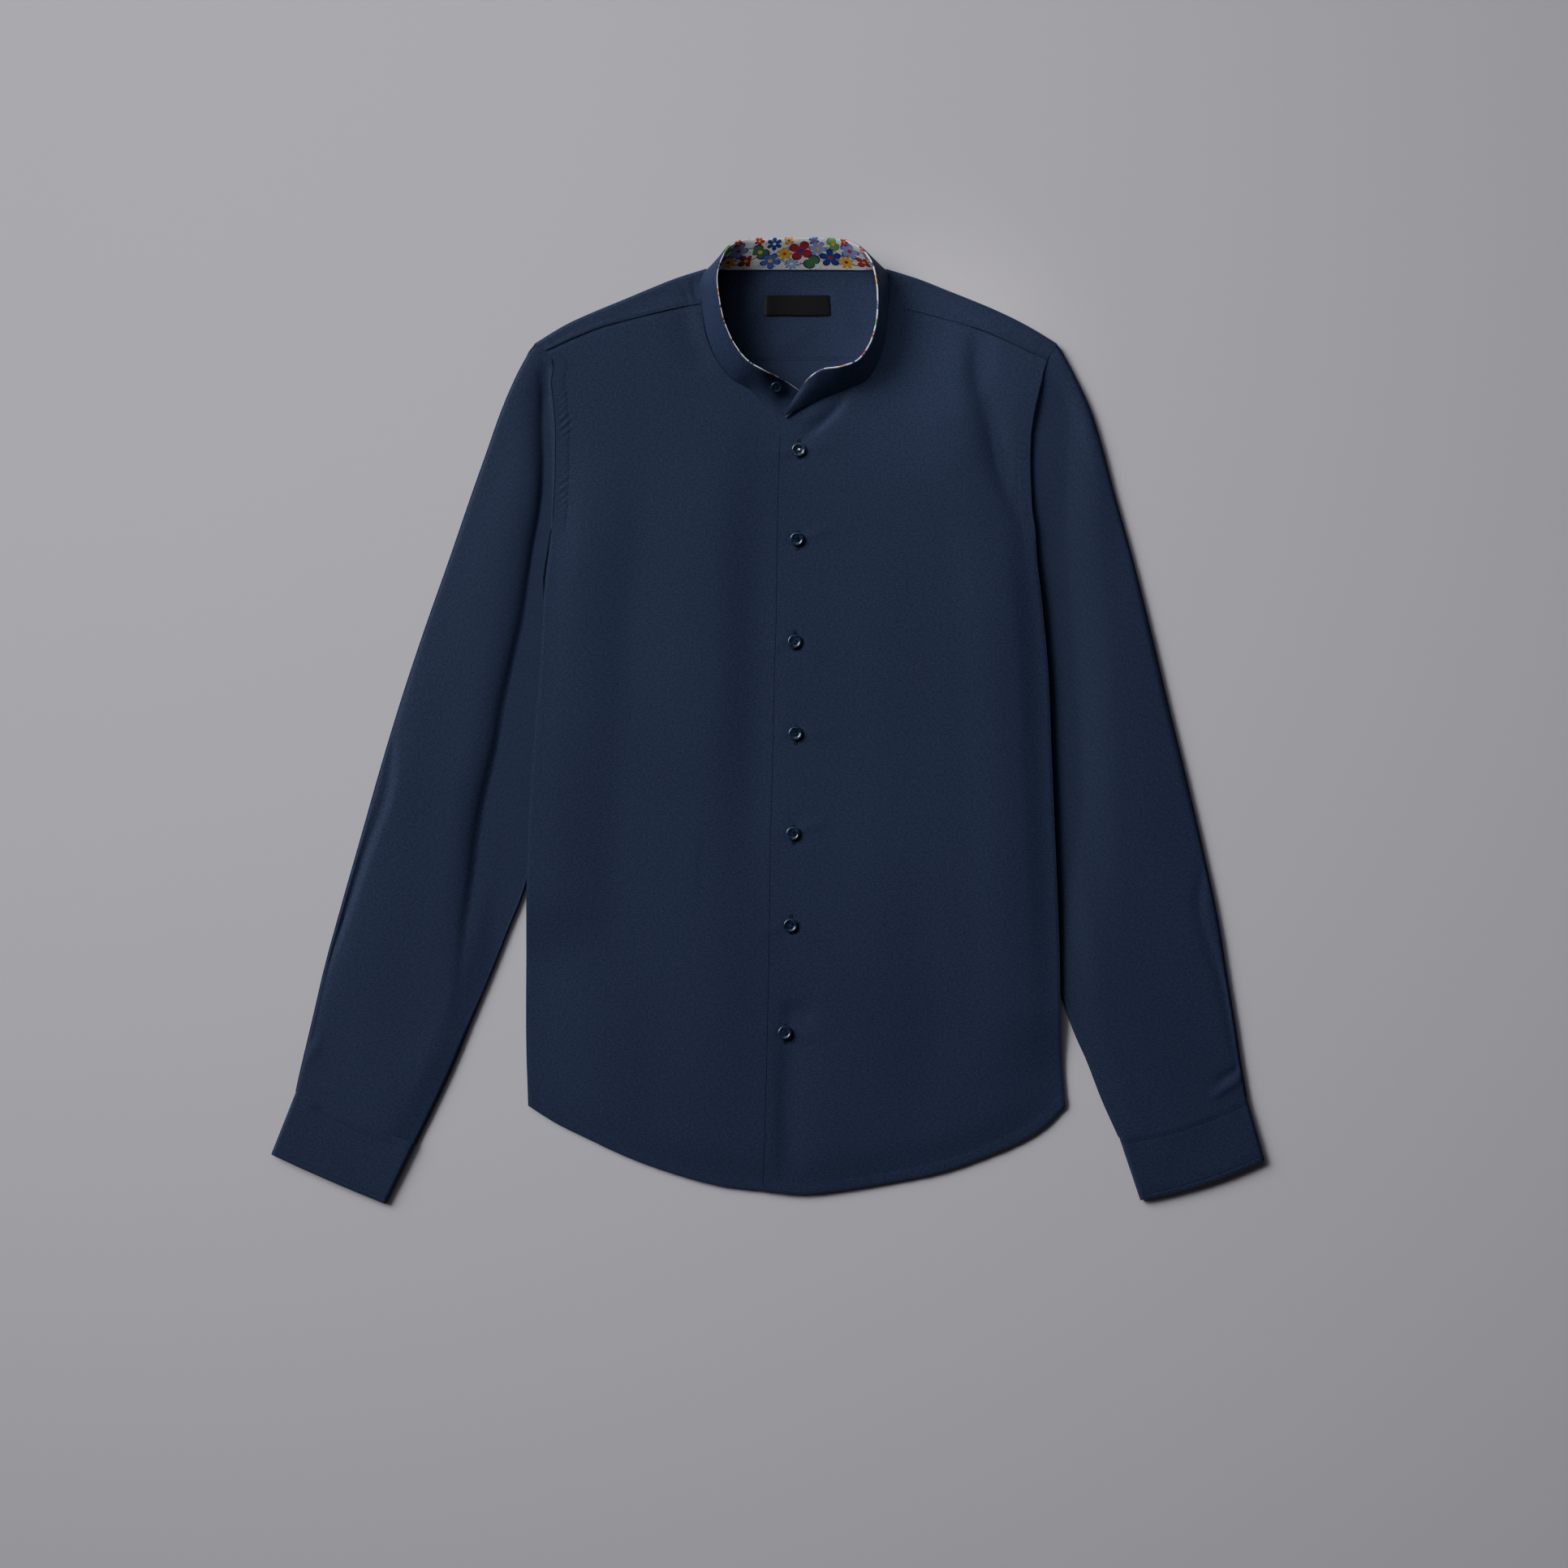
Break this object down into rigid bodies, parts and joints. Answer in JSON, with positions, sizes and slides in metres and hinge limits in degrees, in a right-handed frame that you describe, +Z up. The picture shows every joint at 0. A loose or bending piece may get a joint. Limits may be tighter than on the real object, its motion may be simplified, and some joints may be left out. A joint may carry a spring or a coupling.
{
  "type": "mandarin collar shirt",
  "caption": "Long-sleeved button-front shirt with a stand-up band collar, laid flat on its back with the front up and the sleeves spread.",
  "frame": {"origin": "on the underside of the back panel, on the shirt's middle line, where it lies on the surface", "axes": "+Z up from the surface, +X to the wearer's left, +Y to the collar"},
  "size_m": [0.8071, 0.783, 0.0346],
  "materials": {
    "cotton_navy": "plain-woven navy cotton poplin with a faint sheen",
    "cotton_print": "white cotton poplin with a small printed flower pattern",
    "label_black": "black woven satin label, bare",
    "button_navy": "glossy dark navy resin"
  },
  "bodies": {
    "root": {"back": "cotton_navy", "yoke": "cotton_navy", "front_left": "cotton_navy", "front_right": "cotton_navy", "sleeve_left": "cotton_navy", "sleeve_right": "cotton_navy", "cuff_left": "cotton_navy", "cuff_right": "cotton_navy", "collar_band": "cotton_navy", "collar_lining": "cotton_print", "label": "label_black", "button_1": "button_navy", "button_2": "button_navy", "button_3": "button_navy", "button_4": "button_navy", "button_5": "button_navy", "button_6": "button_navy", "button_7": "button_navy", "button_collar": "button_navy"}
  },
  "joints": []
}
